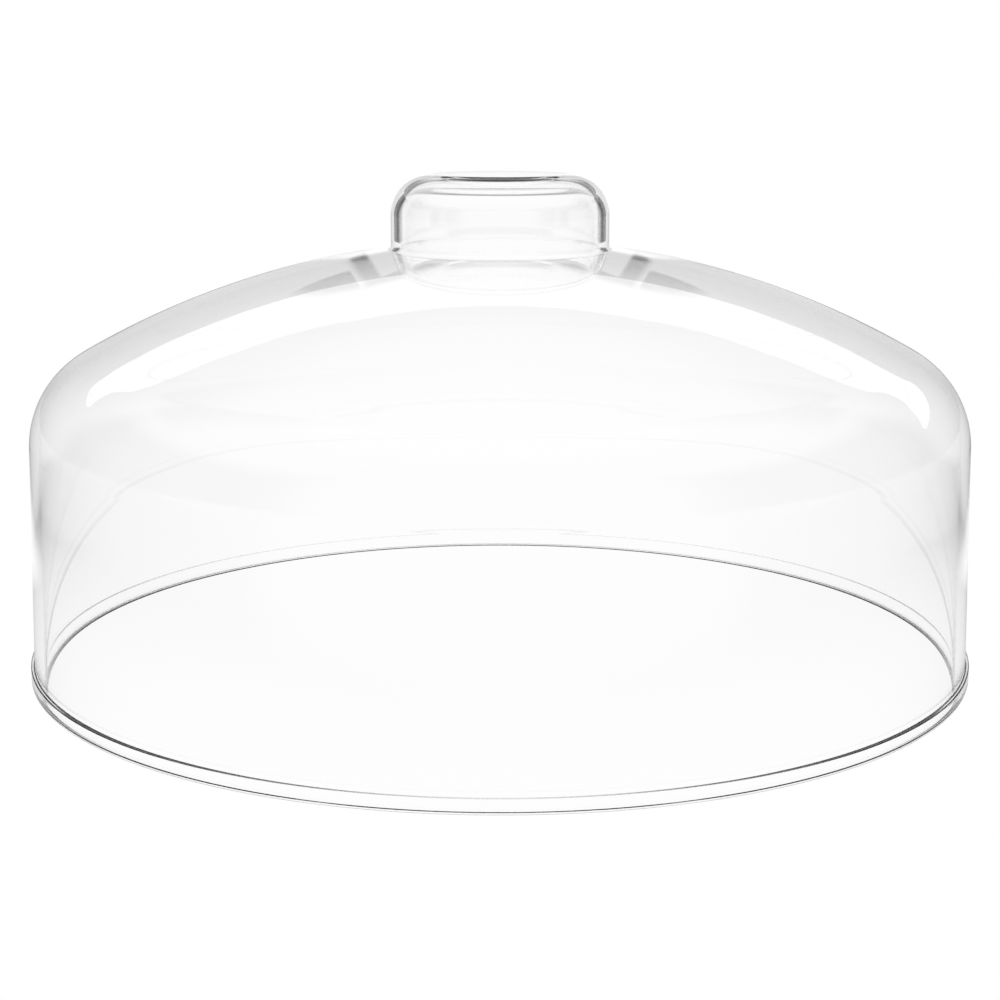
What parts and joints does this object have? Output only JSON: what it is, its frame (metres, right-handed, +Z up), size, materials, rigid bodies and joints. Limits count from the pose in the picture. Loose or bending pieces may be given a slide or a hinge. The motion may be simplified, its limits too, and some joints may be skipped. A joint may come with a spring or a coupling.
{
  "type": "clear dome cover",
  "caption": "Clear moulded plastic dome cover with a straight drafted side wall, a rounded shoulder, a shallow crown, a hollow round lifting knob and a raised band round its open rim.",
  "frame": {"origin": "middle of the rim's underside, on the surface that the cover stands on", "axes": "+Z up along the cover's axis towards its knob; the cover is round, so +X and +Y are any two directions across it"},
  "size_m": [0.302, 0.302, 0.155],
  "materials": {
    "clear_plastic": "high gloss, clear, moulded"
  },
  "bodies": {
    "root": {"dome_cover": "clear_plastic"}
  },
  "joints": []
}
